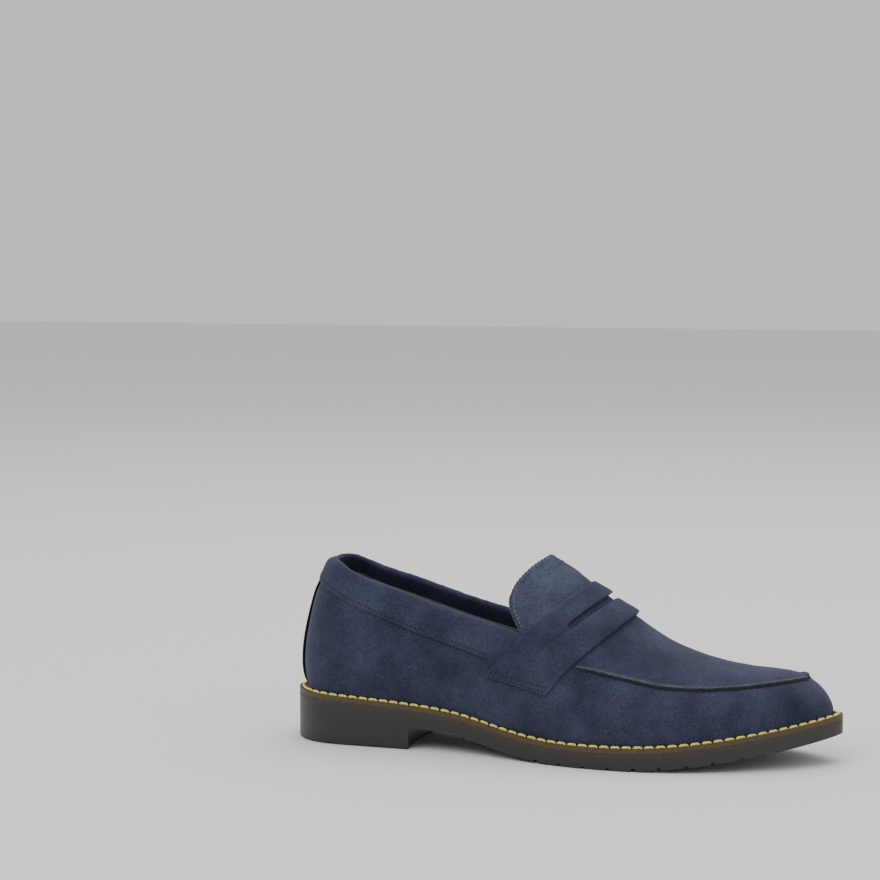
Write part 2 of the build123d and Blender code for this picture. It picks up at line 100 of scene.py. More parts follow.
def aroundAt(t):
    # t in mm from the back of the heel, by the outer side to the toe and home by the inner side
    t = t % roundTrip
    outer = t <= roundTrip / 2
    run = t if outer else roundTrip - t
    if run < quarterHeel:
        s, turn = shoe["pivots"][0], math.pi - run / shoe["rounds"][0]
    elif run < quarterHeel + sideRun:
        s, turn = shoe["pivots"][0] + run - quarterHeel, math.pi / 2
    else:
        s, turn = shoe["pivots"][1], math.pi / 2 - (run - quarterHeel - sideRun) / shoe["rounds"][1]
    return core(s), Vector((math.cos(turn), (-1 if outer else 1) * math.sin(turn), 0))


def castFrom(tree, start, way, inside):
    if inside:
        return tree.ray_cast(start, way)[0]
    hit = tree.ray_cast(start + way * farOut, -way)[0]
    return hit if hit is not None and (hit - start).dot(way) > 0.004 else None


def castAround(tree, t, lift, inside=False):
    # lift is the ray's angle above level
    start, flat = aroundAt(t)
    return castFrom(tree, start, flat * math.cos(lift) + Vector((0, 0, math.sin(lift))), inside)


def castOver(tree, s, turn, inside=False):
    # turn runs from 0 at the outer side over a right angle at the ridge to pi at the inner side
    return castFrom(tree, core(s), Vector((0, -math.cos(turn), math.sin(turn))), inside)


def edgeOf(test, yes, no, steps=16):
    # the place between yes and no where the test stops holding
    for _ in range(steps):
        middle = (yes + no) / 2
        yes, no = (middle, no) if test(middle) else (yes, middle)
    return yes


def firstOf(test, places):
    return next((p for p in places if test(p)), None)


def filled(grid):
    # a grid of points with its missing ones taken from their neighbours in the row
    values = np.full((len(grid), len(grid[0]), 3), np.nan)
    for i, row in enumerate(grid):
        for j, point in enumerate(row):
            if point is not None:
                values[i, j] = point
    places = np.arange(values.shape[1])
    for row in values:
        known = ~np.isnan(row[:, 0])
        for k in range(3):
            row[:, k] = np.interp(places, places[known], row[known, k])
    return values


def softened(values, rounds, closed=False):
    # evens a row of values, its ends kept
    values = np.array(values, float)
    for _ in range(rounds):
        evened = 0.5 * values + 0.25 * (np.roll(values, 1, 0) + np.roll(values, -1, 0))
        if not closed:
            evened[0], evened[-1] = values[0], values[-1]
        values = evened
    return values


def softenedGrid(grid, rounds, closed=False):
    # evens a grid of points along and across, its edges kept
    for _ in range(rounds):
        grid[1:-1] = 0.5 * grid[1:-1] + 0.25 * (grid[:-2] + grid[2:])
        grid = np.stack([softened(row, 1, closed) for row in grid])
    return grid


def normalsOf(grid, closed=False):
    down = np.gradient(grid, axis=0)
    along = (np.roll(grid, -1, 1) - np.roll(grid, 1, 1)) if closed else np.gradient(grid, axis=1)
    normals = np.cross(down, along)
    return normals / np.maximum(np.linalg.norm(normals, axis=2, keepdims=True), 1e-12)


def outwardNormals(grid, closed=False):
    # normals that point away from the core line
    normals = normalsOf(grid, closed)
    middle = np.array([tuple(core(np.clip((p[0] - heelX) / mm, *shoe["pivots"]))) for p in grid.reshape(-1, 3)])
    away = np.sum(normals.reshape(-1, 3) * (grid.reshape(-1, 3) - middle), axis=1)
    return normals * (1 if np.median(away) > 0 else -1)


# ---- making meshes ----
def linkMesh(name, points, faces):
    mesh = bpy.data.meshes.new(name)
    mesh.from_pydata([tuple(p) for p in points], [], [tuple(int(i) for i in f) for f in faces])
    mesh.validate()
    mesh.update()
    mesh.polygons.foreach_set("use_smooth", [True] * len(mesh.polygons))
    piece = bpy.data.objects.new(name, mesh)
    bpy.context.scene.collection.objects.link(piece)
    return piece


def gridFaces(rows, columns, closed=False, skip=None):
    faces = []
    for i in range(rows - 1):
        for j in range(columns if closed else columns - 1):
            k = (j + 1) % columns
            if not (skip and skip(i, j)):
                faces.append((i * columns + j, i * columns + k, (i + 1) * columns + k, (i + 1) * columns + j))
    return faces


def thickPiece(name, grid, thickness, normals, closed=False, skip=None):
    # a sheet of leather: the grid is the face that its normals leave, the thickness goes the other way
    outer = grid.reshape(-1, 3)
    away = normals.reshape(-1, 3)
    inner = outer - away * np.reshape(thickness, (-1, 1))
    count = len(outer)
    faces = gridFaces(*grid.shape[:2], closed, skip)
    a, b, c, _ = np.array(faces).T
    facing = np.sum(np.cross(outer[b] - outer[a], outer[c] - outer[a]) * away[a])
    if facing < 0:
        faces = [face[::-1] for face in faces]
    edges = {(a, b) for face in faces for a, b in zip(face, face[1:] + face[:1])}
    rim = [(a, b) for a, b in edges if (b, a) not in edges]
    faces += [tuple(count + i for i in face[::-1]) for face in faces]
    faces += [(b, a, count + a, count + b) for a, b in sorted(rim)]
    used = np.unique(np.concatenate([np.array(face) for face in faces]))
    order = np.zeros(2 * count, int)
    order[used] = np.arange(len(used))
    return linkMesh(name, np.vstack([outer, inner])[used], [[order[i] for i in face] for face in faces])


def roundEdges(piece, width, segments=2, angle=50):
    bevel = piece.modifiers.new("edges", "BEVEL")
    bevel.width = width * mm
    bevel.segments = segments
    bevel.angle_limit = math.radians(angle)
    depsgraph = bpy.context.evaluated_depsgraph_get()
    mesh = bpy.data.meshes.new_from_object(piece.evaluated_get(depsgraph))
    piece.modifiers.clear()
    piece.data = mesh
    mesh.polygons.foreach_set("use_smooth", [True] * len(mesh.polygons))
    return piece


# ---- materials ----
def colour(text):
    # sRGB hex to linear light
    parts = [int(text[i:i + 2], 16) / 255 for i in (1, 3, 5)]
    return (*[c / 12.92 if c <= 0.04045 else ((c + 0.055) / 1.055) ** 2.4 for c in parts], 1)


class Surface:
    """A material's node tree with one way to add a node."""

    def __init__(self, name, **constants):
        self.material = bpy.data.materials.new(name)
        self.material.use_nodes = True
        self.nodes, self.links = self.material.node_tree.nodes, self.material.node_tree.links
        self.nodes.clear()
        self.shader = self.add("ShaderNodeBsdfPrincipled", **constants)
        output = self.nodes.new("ShaderNodeOutputMaterial")
        self.links.new(self.shader.outputs[0], output.inputs[0])

    def add(self, kind, settings=None, **inputs):
        # inputs: a value, or a node or output to link; the socket's name with _ for spaces
        node = self.nodes.new(kind)
        for key, value in (settings or {}).items():
            setattr(node, key, value)
        for key, value in inputs.items():
            self.put(node, key, value)
        return node

    def put(self, node, key, value):
        name = key.replace("_", " ")
        socket = node.inputs[int(key[1:])] if key[0] == "i" and key[1:].isdigit() else node.inputs[name]
        if isinstance(value, bpy.types.NodeSocket):
            self.links.new(value, socket)
        elif isinstance(value, bpy.types.Node):
            self.links.new(value.outputs[0], socket)
        else:
            socket.default_value = value

    def place(self):
        return self.add("ShaderNodeTexCoord").outputs["Object"]

    def grain(self, size, detail=3.0, roughness=0.55, place=None):
        # noise whose features are about size mm across
        return self.add("ShaderNodeTexNoise", Vector=place or self.place(), Scale=1000 / size, Detail=detail,
                        Roughness=roughness)

    def blendOf(self, share, low, high):
        mix = self.add("ShaderNodeMix", {"data_type": "RGBA"}, Factor=share)
        for socket, value in ((mix.inputs[6], low), (mix.inputs[7], high)):
            if isinstance(value, str):
                socket.default_value = colour(value)
            else:
                self.links.new(value, socket)
        return mix.outputs[2]

    def steps(self, source, *stops):
        # source is turned into a share between 0 and 1 by straight steps of (input, output)
        ramp = self.add("ShaderNodeValToRGB", Fac=source)
        elements = ramp.color_ramp.elements
        while len(elements) < len(stops):
            elements.new(0.5)
        for element, (at, value) in zip(elements, stops):
            element.position = at
            element.color = (value, value, value, 1)
        return ramp.outputs[0]

    def rough(self, height, depth, distance=1.0):
        bump = self.add("ShaderNodeBump", Height=height, Strength=depth, Distance=distance * mm)
        self.put(self.shader, "Normal", bump)


def sueded(name, dark, light, patch, grainSize=0.6, contrast=(0.3, 0.78), sheen="#a3a8ba"):
    # suede: the buffed flesh side of the hide, so the short nap scatters light and shows brushed patches
    m = Surface(name, Roughness=0.95, IOR=1.5, Sheen_Weight=0.22, Sheen_Roughness=0.55,
                Sheen_Tint=colour(sheen), Specular_IOR_Level=0.2)
    brushed = m.grain(patch, 4, 0.6)
    fine = m.grain(grainSize, 4, 0.7)
    share = m.steps(brushed, (contrast[0], 0.0), (contrast[1], 1.0))
    nap = m.blendOf(share, dark, light)
    speckle = m.steps(fine, (0.34, 0.0), (0.68, 1.0))
    mix = m.add("ShaderNodeMix", {"data_type": "RGBA", "blend_type": "MULTIPLY"}, Factor=0.85)
    m.links.new(nap, mix.inputs[6])
    m.links.new(m.blendOf(speckle, "#56565a", "#ffffff"), mix.inputs[7])
    m.links.new(mix.outputs[2], m.shader.inputs["Base Color"])
    m.rough(fine, 0.6, 0.3)
    return m.material


def solid(name, base, rough, size=None, depth=0.2, relief=0.2, second=None, share=(0.4, 0.65), **constants):
    m = Surface(name, Roughness=rough, **constants)
    m.put(m.shader, "Base_Color", colour(base))
    if size:
        fine = m.grain(size, 4, 0.6)
        if second:
            m.links.new(m.blendOf(m.steps(fine, (share[0], 0.0), (share[1], 1.0)), base, second),
                        m.shader.inputs["Base Color"])
        m.rough(fine, depth, relief)
    return m.material


suede = sueded("navy suede", "#2b2f46", "#4d536f", 24)
# painted light: the tongue's suede is the same as the rest, painted lighter because its top faces the light from above
suedePaintedLighter = sueded("navy suede, painted lighter for the tongue's lit top", "#3a3f56", "#656b87", 20)
suedeDark = sueded("dark navy suede, heel strip", "#0c0e16", "#171a26", 20)
suedeEdge = sueded("suede raw edge", "#434b56", "#6b7580", 6, 0.6)
lining = solid("lining leather, near black", "#12161c", 0.5, 0.8, 0.25, 0.15, IOR=1.5)
footbed = solid("footbed leather", "#171b22", 0.55, 0.9, 0.3, 0.15, IOR=1.5)
creamThread = solid("waxed cream thread", "#e6d786", 0.6, 0.35, 0.4, 0.1, "#cdb95e", IOR=1.5)
# near-black navy thread; the same near-black also paints the shadow under the apron's lip, on its seam cord and its
# stitches
navyThreadAndPaintedShade = solid("navy thread", "#0a0c17", 0.75, 0.3, 0.3, 0.08, IOR=1.5)
paleThread = solid("navy thread, worn paler", "#565d78", 0.75, 0.3, 0.3, 0.08, IOR=1.5)
plain = {
    "nail steel": solid("nail steel", "#8d8f92", 0.35, Metallic=1.0),
    "board": solid("insole board", "#a58a68", 0.85, 1.2, 0.3, 0.2, IOR=1.5),
    "cork": solid("cork filler", "#8a6a48", 0.95, 1.6, 0.5, 0.4, "#6d5136", IOR=1.45),
    "foam": solid("foam", "#c9c5b6", 0.95, 0.7, 0.4, 0.2, IOR=1.45),
    "canvas": solid("cotton interlining, dyed dark", "#161922", 0.95, 0.6, 0.4, 0.2, IOR=1.5),
    "stiffener": solid("stiffener board", "#b8ab90", 0.9, 0.9, 0.3, 0.2, IOR=1.5),
}
print("materials made")

# ---- shared helpers for the pieces ----
trees = {name: surfaceOf(*nodes) for name, nodes in {
    "wall": ("vamp_wall",), "apron": ("apron",), "strap": ("saddle_strap",), "tongue": ("tongue",),
    "band": ("collar_band",), "stay": ("back_stay",), "quarter": ("quarter_lining",),
    "vampLining": ("vamp_lining",), "midsole": ("midsole",), "welt": ("welt",), "insock": ("insock_cover",),
    "outside": ("vamp_wall", "apron", "tongue"),
}.items()}


def topOf(tree, x, y, above=0.06):
    hit = tree.ray_cast(Vector((x, y, above)), Vector((0, 0, -1)))[0]
    return hit.z if hit else None


middleY = shoe["axisY"][0] * mm
stepsX = np.linspace(heelX + 0.004, heelX + 0.288, 90)
midsoleTops = [topOf(trees["midsole"], x, middleY) for x in stepsX]
insockTops = [topOf(trees["insock"], x, middleY) for x in stepsX]


def levelAt(tops, x):
    known = [(a, b) for a, b in zip(stepsX, tops) if b is not None]
    return float(np.interp(x, [k[0] for k in known], [k[1] for k in known]))


def ripple(points, normals, size, amount):
    # uneven leather: moves points along their normals by up to amount mm, in waves about size mm across
    flat, away = points.reshape(-1, 3), normals.reshape(-1, 3)
    phases = ((1.0, 0.31, 0.2), (-0.4, 0.9, 0.35), (0.25, -0.55, 1.1), (1.7, 0.8, -0.6))
    total = np.zeros(len(flat))
    for i, way in enumerate(phases):
        total += np.sin(flat @ np.array(way) * 2 * math.pi / (size * mm) + 1.7 * i + np.sin(flat[:, 0] * 90 + i))
    return points + (normals * (total / len(phases)).reshape(points.shape[:2] + (1,)) * amount * mm)


def aroundGrid(tree, places, low, high, rows, inside=False):
    # rows of rays between each place's low and high lift
    shares = np.linspace(0, 1, rows)
    grid = [[castAround(tree, t, low[j] + (high[j] - low[j]) * f, inside) for j, t in enumerate(places)]
            for f in shares]
    return filled(grid)


def liftLimits(tree, t, start, lowest, highest, test=None, inside=False):
    # the lowest and highest lifts round start that hit the tree
    def hits(lift):
        hit = castAround(tree, t, lift, inside)
        return hit is not None and (test is None or test(hit))
    return edgeOf(hits, start, lowest), edgeOf(hits, start, highest)


def overGrid(tree, ends, edges, us, vs, tip=None, inside=False, test=None, ridge=math.pi / 2):
    # u runs from -1 at the outer end over the ridge to 1 at the inner end, v from the rear edge to the front edge.
    # ends: for each side the s of the end's rear and front corner; edges: the s to search between.
    def hits(s, turn):
        hit = castOver(tree, s, turn, inside)
        return hit is not None and (test is None or test(hit))

    def endTurn(side, s):
        turns = [math.radians(a) for a in np.arange(-25, 90, 0.5)]
        turns = turns if side < 0 else [math.pi - a for a in turns]
        found = firstOf(lambda a: hits(s, a), turns)
        if found is None:
            return np.nan
        return edgeOf(lambda a: hits(s, a), found, found + math.radians(0.5) * side)

    endTurns = {}
    for side in (-1, 1):
        rear, front = ends[side]
        turns = np.array([endTurn(side, rear + (front - rear) * v) for v in vs])
        known = ~np.isnan(turns)
        turns = np.interp(vs, np.array(vs)[known], turns[known])
        if tip:
            turns[-1] = ridge
        endTurns[side] = softened(turns, 2)

    def turnOf(u, j):
        return ridge + abs(u) * (endTurns[1 if u > 0 else -1][j] - ridge)

    def searched(turn, places):
        found = firstOf(lambda s: hits(s, turn), places)
        step = places[1] - places[0]
        return np.nan if found is None else edgeOf(lambda s: hits(s, turn), found, found - step)

    forward = np.arange(edges[0], edges[1], 1.0)
    rears = np.array([searched(turnOf(u * 0.998, 0), forward) for u in us])
    if tip:
        fronts = np.full(len(us), float(tip))
    else:
        fronts = np.array([searched(turnOf(u * 0.998, -1), forward[::-1]) for u in us])
    for values in (rears, fronts):
        known = ~np.isnan(values)
        values[:] = softened(np.interp(us, np.array(us)[known], values[known]), 2)
    return endTurns, rears, fronts


def overPoint(tree, s, turn, inside=False):
    for shift in (0, 0.3, -0.3, 0.7, -0.7, 1.2, -1.2):
        hit = castOver(tree, s + shift, turn, inside)
        if hit is not None:
            return hit + fromHeel(s, 0, 0) - fromHeel(s + shift, 0, 0) if shift else hit
    return None


def spacedUs(count):
    return np.linspace(-1, 1, count)


# ---- thread ----
def threadPieces(name, places, length, radius, plies=2, rings=9, segments=8, flat=0.8):
    # places: (middle, way along, way out); one plump twisted stitch at each
    points, faces = [], []
    for middle, along, out in places:
        middle, along, out = (np.array(v, float) for v in (middle, along, out))
        along /= np.linalg.norm(along)
        out -= along * (out @ along)
        out /= np.linalg.norm(out)
        across = np.cross(along, out)
        start = len(points)
        for i in range(rings):
            share = -1 + 2 * (i + 0.5) / rings
            swell = (1 - abs(share) ** 2.6) ** 0.5
            dip = -0.55 * radius * abs(share) ** 3
            for k in range(segments):
                turn = 2 * math.pi * k / segments
                twist = 1 + 0.12 * math.cos(plies * (turn - share * length / radius * 0.5))
                reach = radius * swell * twist
                points.append(middle + along * share * length / 2 + out * (reach * flat * math.sin(turn) + dip)
                              + across * reach * math.cos(turn))
        for i in range(rings - 1):
            for k in range(segments):
                m = (k + 1) % segments
                faces.append((start + i * segments + k, start + i * segments + m,
                              start + (i + 1) * segments + m, start + (i + 1) * segments + k))
        faces.append(tuple(start + k for k in range(segments))[::-1])
        faces.append(tuple(start + (rings - 1) * segments + k for k in range(segments)))
    return linkMesh(name, points, faces)


def stitchesAlong(path, outs, pitch, skipEnds=0.5):
    # evenly spaced places along a row of points, with the way along and the way out at each
    path, outs = np.array(path, float), np.array(outs, float)
    run = np.concatenate([[0], np.cumsum(np.linalg.norm(np.diff(path, axis=0), axis=1))])
    count = int((run[-1] - 2 * skipEnds * pitch * mm) / (pitch * mm))
    places = []
    for i in range(count + 1):
        at = skipEnds * pitch * mm + (run[-1] - 2 * skipEnds * pitch * mm) * i / max(count, 1)
        middle = [np.interp(at, run, path[:, k]) for k in range(3)]
        ahead = [np.interp(at + 0.0006, run, path[:, k]) - np.interp(at - 0.0006, run, path[:, k]) for k in range(3)]
        places.append((middle, ahead, [np.interp(at, run, outs[:, k]) for k in range(3)]))
    return places


def finished(piece, material, nodes=(), body="root"):
    piece.data.materials.clear()
    piece.data.materials.append(material)
    if nodes:
        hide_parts(*nodes)
    if body:
        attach(piece, body)
    return piece


# ---- wall: the leather between the welt and the apron's seam, all round ----
wall = {"columns": 300, "rows": 26, "leather": 1.2, "tuck": 0.6}
places = np.linspace(0, roundTrip, wall["columns"], endpoint=False)
lows, highs = [], []
for t in places:
    low, high = liftLimits(trees["wall"], t, 0.02, -1.2, 1.5,
                           lambda hit: hit.z > levelAt(midsoleTops, hit.x) + wall["tuck"] * mm)
    lows.append(low)
    highs.append(high - 0.004)
lows, highs = softened(lows, 2, True), softened(highs, 1, True)
grid = softenedGrid(aroundGrid(trees["wall"], places, lows, highs, wall["rows"]), 2, True)
outs = outwardNormals(grid, True)
wallGrid, wallOuts = ripple(grid, outs, 31, 0.12), outs
piece = thickPiece("upper_wall", wallGrid, wall["leather"] * mm, outs, True)
finished(piece, suede, ["vamp_wall"])
print("wall made", len(piece.data.vertices))

# ---- strap: two bands side by side over the instep, joined at their ends, a slot between them ----
strap = {"leather": 1.4, "proud": 1.9, "edgeMore": 0.7, "ends": (117.2, 152.0), "stitchPitch": 2.5, "stitchRows": (2.6, 5.4)}
edgeUs = spacedUs(121)
vs = np.linspace(0, 1, 31)
strapTurns, strapRears, strapFronts = overGrid(
    trees["strap"], {-1: strap["ends"], 1: strap["ends"]}, (112, 215), edgeUs, vs)


def onStrap(u, v):
    k = 1 if u > 0 else -1
    turn = math.pi / 2 + abs(u) * (float(np.interp(v, vs, strapTurns[k])) - math.pi / 2)
    rear, front = np.interp(u, edgeUs, strapRears), np.interp(u, edgeUs, strapFronts)
    return rear + (front - rear) * v, turn


def slotGap(u):
    # the shares between which the slot lies, or None
    open_ = [v for v in np.arange(0.2, 0.85, 0.01) if castOver(trees["strap"], *onStrap(u, v)) is None]
    if not open_:
        return None

    def missing(v):
        return castOver(trees["strap"], *onStrap(u, v)) is None
    return edgeOf(missing, open_[0], open_[0] - 0.012), edgeOf(missing, open_[-1], open_[-1] + 0.012)


extra = []
for side in (-1, 1):
    end = edgeOf(lambda a: slotGap(side * a) is not None, 0.05, 0.95, 12)
    extra += [side * (end - d) for d in (0.001, 0.004, 0.01, 0.018, -0.001)]
us = np.sort(np.append(edgeUs, extra))
gaps = [slotGap(u) for u in us]
middles = [sum(g) / 2 if g else np.nan for g in gaps]
known = ~np.isnan(middles)
middles = np.interp(us, us[known], np.array(middles)[known])
rows = []
for u, gap, middle in zip(us, gaps, middles):
    low, high = gap or (middle - 0.002, middle + 0.002)
    shares = np.concatenate([np.linspace(0, low, 15), [middle], np.linspace(high, 1, 15)])
    rows.append([overPoint(trees["strap"], *onStrap(u, np.clip(v, 0.004, 0.996))) for v in shares])
grid = filled(rows)
grid[1:-1, 1:14] = softenedGrid(grid.copy(), 1)[1:-1, 1:14]
grid[1:-1, 17:-1] = softenedGrid(grid.copy(), 1)[1:-1, 17:-1]
outs = outwardNormals(grid)
crown = np.sin(np.clip((1 - np.abs(us) / 0.75), 0, 1) * math.pi / 2)
# each band lifts towards its front edge where it crosses the ridge
shares = np.linspace(0, 1, 15)
bandRise = np.tile(np.append(shares ** 1.3 * (1 - 0.45 * np.clip((shares - 0.8) / 0.2, 0, 1) ** 2), 0.5), 2)[:31]
rise = crown[:, None] * bandRise[None]
grid = grid + outs * (strap["proud"] * mm * crown[:, None] * (0.3 + 0.7 * bandRise[None]))[..., None]
grid = ripple(grid, outs, 23, 0.12)
hasGap = [g is not None for g in gaps]
piece = thickPiece("strap", grid, (strap["leather"] + strap["edgeMore"] * rise) * mm, outs,
                   skip=lambda i, j: j in (14, 15) and (hasGap[i] and hasGap[i + 1]))
roundEdges(piece, 0.6, 3)
finished(piece, suede, ["saddle_strap"])
places = []
for side, row in ((-1, 0), (1, len(us) - 1)):
    for away in strap["stitchRows"]:
        runs = np.cumsum(np.linalg.norm(np.diff(grid[::-side][:, 8], axis=0), axis=1)) / mm
        at = int(np.searchsorted(runs, away)) + 1
        line = grid[at if side < 0 else len(us) - 1 - at]
        lineOuts = outs[at if side < 0 else len(us) - 1 - at]
        places += stitchesAlong(line[1:-1], lineOuts[1:-1], strap["stitchPitch"])
piece = threadPieces("strap_stitches", places, 1.7 * mm, 0.42 * mm)
finished(piece, navyThreadAndPaintedShade)
print("strap made")

# ---- apron: the plug over the toes with a raised edge ----
apron = {"leather": 1.25, "lip": 1.5, "lipWidth": 3.2, "stitchPitch": 3.1, "stitchDrop": 1.7, "bead": (0.62, 0.5), "tip": 282.2}
us = np.sin(spacedUs(97) * math.pi / 2)
vs = 1 - np.cos(np.linspace(0, math.pi / 2, 70) ** 1.0)
vs = np.sin(np.linspace(0, math.pi / 2, 74))
apronEnds = {-1: (143.5, apron["tip"]), 1: (144.5, apron["tip"])}
turns, rears, fronts = overGrid(trees["apron"], apronEnds, (118, 284), us, vs, tip=apron["tip"])
rows = []
for i, u in enumerate(us):
    row = []
    for j, v in enumerate(vs):
        turn = math.pi / 2 + abs(u) * 0.995 * (turns[1 if u > 0 else -1][j] - math.pi / 2)
        row.append(overPoint(trees["outside"], rears[i] + 1.0 + (fronts[i] - rears[i] - 1.0) * v, turn))
    rows.append(row)
grid = softenedGrid(filled(rows), 2)
outs = outwardNormals(grid)
border = np.concatenate([grid[0], grid[-1]])
gapsToBorder = np.min(np.linalg.norm(grid[:, :, None] - border[None, None], axis=3), axis=2) / mm
raised = np.clip(1 - gapsToBorder / apron["lipWidth"], 0, 1) ** 2
fromStrap = np.array([[trees["strap"].find_nearest(Vector(point))[3] for point in row] for row in grid]) / mm
raised *= np.clip((fromStrap - 1.2) / 4, 0, 1)  # flat where the strap covers it
grid = grid + outs * ((0.15 + apron["lip"] * raised) * mm)[..., None]
grid = ripple(grid, outs, 27, 0.16)
piece = thickPiece("apron_plug", grid, apron["leather"] * mm, outs)
roundEdges(piece, 0.3)
finished(piece, suede, ["apron"])
seam = np.concatenate([grid[0], grid[-1][::-1][1:]])
seamOuts = np.concatenate([outs[0], outs[-1][::-1][1:]])
clear = np.concatenate([fromStrap[0], fromStrap[-1][::-1][1:]]) > 0.9
seam, seamOuts = seam[clear], seamOuts[clear]
ways = np.gradient(seam, axis=0)
seamDowns = np.cross(ways, seamOuts)
seamDowns /= np.linalg.norm(seamDowns, axis=1, keepdims=True)
seamDowns *= np.where(seamDowns[:, 2:] > 0, -1, 1)


def cordOnSeam(name, down, out, halfDown, halfOut, sides=10):
    # an oval cord along the apron's seam, its middle moved down and out from the lip by so many mm
    points, faces = [], []
    for i, (middle, away, up) in enumerate(zip(seam, seamDowns, seamOuts)):
        swell = 1 + 0.12 * math.sin(i * 1.9)
        for turn in np.linspace(0, 2 * math.pi, sides, endpoint=False):
            points.append(middle + (away * (down + math.cos(turn) * halfDown * swell)
                                    + up * (out + math.sin(turn) * halfOut * swell)) * mm)
    for i in range(len(seam) - 1):
        faces += [(i * sides + k, i * sides + (k + 1) % sides, (i + 1) * sides + (k + 1) % sides,
                   (i + 1) * sides + k) for k in range(sides)]
    faces += [tuple(range(sides))[::-1], tuple(range(len(points) - sides, len(points)))]
    return linkMesh(name, points, faces)


finished(cordOnSeam("apron_edge", 0.1, -0.4, *apron["bead"]), suedeEdge)
# painted shadow: a near-black cord just under the lip's bead stands for the shade beneath the apron's raised edge
finished(cordOnSeam("apron_painted_lip_shadow", 0.95, -1.2, 0.5, 0.6), navyThreadAndPaintedShade)
print("apron made")

# ---- tongue: the flap that lifts ----
tongue = {"leather": 1.3, "lining": 0.9, "tuck": 7.0, "columns": 40, "arch": 8.5, "stitchRows": (1.3, 3.1),
          "stitchPitch": 2.4}


def turnRange(tree, span, step=0.5):
    found = []
    for a in np.arange(0, 180, step):
        if any(castOver(tree, s, math.radians(a)) is not None for s in span):
            found.append(math.radians(a))
    return found[0], found[-1]


span = np.arange(122, 172, 1.5)
lowTurn, highTurn = turnRange(trees["tongue"], span)
us = spacedUs(81)
rears, fronts = [], []
for u in us:
    turn = math.pi / 2 + abs(u) * 0.992 * ((highTurn if u > 0 else lowTurn) - math.pi / 2)

    def hits(s):
        return castOver(trees["tongue"], s, turn) is not None
    places = np.arange(118, 185, 0.5)
    first, last = firstOf(hits, places), firstOf(hits, places[::-1])
    rears.append(np.nan if first is None else edgeOf(hits, first, first - 0.5))
    fronts.append(np.nan if last is None else edgeOf(hits, last, last + 0.5))
known = ~np.isnan(rears)
rears = softened(np.interp(us, us[known], np.array(rears)[known]), 2)
fronts = softened(np.interp(us, us[known], np.array(fronts)[known]), 2)
rows = []
for i, u in enumerate(us):
    turn = math.pi / 2 + abs(u) * 0.992 * ((highTurn if u > 0 else lowTurn) - math.pi / 2)
    shares = np.linspace(0, 1, tongue["columns"])
    tree = trees["tongue"]
    row = [overPoint(tree, rears[i] + (fronts[i] - rears[i]) * v, turn) for v in shares]
    row += [overPoint(trees["outside"], fronts[i] + tongue["tuck"] * v, turn) for v in (0.4, 0.7, 1.0)]
    rows.append(row)
tongueGrid = softenedGrid(filled(rows), 3)
tongueOuts = outwardNormals(tongueGrid)
edgeRun = np.linalg.norm(tongueGrid - tongueGrid[:, :1], axis=2) / mm
arch = np.exp(-((edgeRun - tongue["arch"]) / 0.9) ** 2) * (np.abs(us) < 0.93)[:, None]
bulge = np.exp(-((edgeRun - tongue["arch"] - 9) / 6.0) ** 2) * np.clip(1 - np.abs(us) ** 4, 0, 1)[:, None]
curl = np.exp(-((edgeRun - 0.0) / 1.4) ** 2)
tongueGrid = tongueGrid + tongueOuts * ((0.25 - 0.9 * curl + 0.35 * arch + 0.45 * bulge) * mm)[..., None]
tongueGrid = ripple(tongueGrid, tongueOuts, 19, 0.14)
piece = thickPiece("tongue_flap", tongueGrid, tongue["leather"] * mm, tongueOuts)
roundEdges(piece, 0.3)
# the tongue takes the suede painted lighter for the light that falls on its top
finished(piece, suedePaintedLighter, ["tongue"], body=None)
under = tongueGrid - tongueOuts * (tongue["leather"] + 0.02) * mm
liningPiece = thickPiece("tongue_flap_lining", under, tongue["lining"] * mm, tongueOuts)
finished(liningPiece, lining, ["tongue_lining"], body=None)
flapPieces = [piece, liningPiece]
for row, away in enumerate(tongue["stitchRows"]):
    line, lineOuts = [], []
    for i in range(3, len(us) - 3):
        j = int(np.searchsorted(edgeRun[i], away))
        share = (away - edgeRun[i][j - 1]) / max(edgeRun[i][j] - edgeRun[i][j - 1], 1e-6)
        line.append(tongueGrid[i, j - 1] + (tongueGrid[i, j] - tongueGrid[i, j - 1]) * share)
        lineOuts.append(tongueOuts[i, j])
    stitch = threadPieces(f"tongue_stitches_{row + 1}", stitchesAlong(line, lineOuts, tongue["stitchPitch"]),
                          1.6 * mm, 0.36 * mm)
    finished(stitch, (navyThreadAndPaintedShade, paleThread)[row], body=None)
    flapPieces.append(stitch)

# ---- collar: the padded band round the foot's opening ----
collar = {"outerRows": 11, "rollRows": 9, "innerRows": 6, "puff": 0.45, "roll": 2.6, "skin": 0.8,
          "sink": 0.9, "stitchPitch": 2.5, "stitchUp": 0.17, "outerEnd": 139.0, "innerEnd": 142.0, "columns": 118}


def sideT(s, side):
    return (quarterHeel + s - shoe["pivots"][0]) * side


def bandLimits(t, inside=False):
    lifts = [math.radians(a) for a in np.arange(-20, 84, 1.5)]

    def hits(a):
        return castAround(trees["band"], t, a, inside) is not None
    found = [a for a in lifts if hits(a)]
    if not found:
        return np.nan, np.nan
    return edgeOf(hits, found[0], found[0] - math.radians(1.5)), edgeOf(hits, found[-1], found[-1] + math.radians(1.5))


def carriedOn(ts, values, first, last):
    # values beyond first and last follow the slope just before them
    values = np.array(values, float)
    inner = (ts >= first) & (ts <= last) & ~np.isnan(values)
    for end, way in ((first, 1), (last, -1)):
        near = inner & (way * (ts - end) < 16)
        slope, start = np.polyfit(ts[near], values[near], 1)
        beyond = way * (ts - end) < 0
        values[beyond] = slope * ts[beyond] + start
    missing = np.isnan(values)
    values[missing] = np.interp(ts[missing], ts[~missing], values[~missing])
    return values


